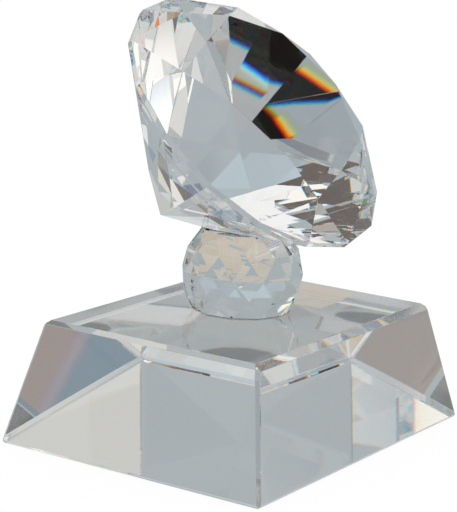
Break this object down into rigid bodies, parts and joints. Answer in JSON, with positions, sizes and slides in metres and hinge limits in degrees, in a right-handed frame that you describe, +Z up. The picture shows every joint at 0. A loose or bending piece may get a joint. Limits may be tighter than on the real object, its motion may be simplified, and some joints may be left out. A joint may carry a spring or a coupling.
{
  "type": "crystal award",
  "caption": "Clear crystal award: a large round brilliant-cut crystal tilted on a faceted ball, on a rectangular plinth with sloping sides.",
  "frame": {"origin": "middle of the base's footprint, at the height of its resting face", "axes": "+Z up; the base's long front side faces -Y, the way the brilliant's table leans; X runs along the base's long side"},
  "size_m": [0.1244, 0.0974, 0.1388],
  "materials": {
    "base_crystal": "clear optical crystal, polished flat faces and chamfers",
    "ball_crystal": "clear optical crystal, polished facets",
    "diamond_crystal": "clear optical crystal, polished facets, strong dispersion",
    "adhesive": "clear cured adhesive"
  },
  "bodies": {
    "root": {"base": "base_crystal", "base_bond": "adhesive", "ball": "ball_crystal", "diamond_bond": "adhesive", "diamond": "diamond_crystal"}
  },
  "joints": []
}
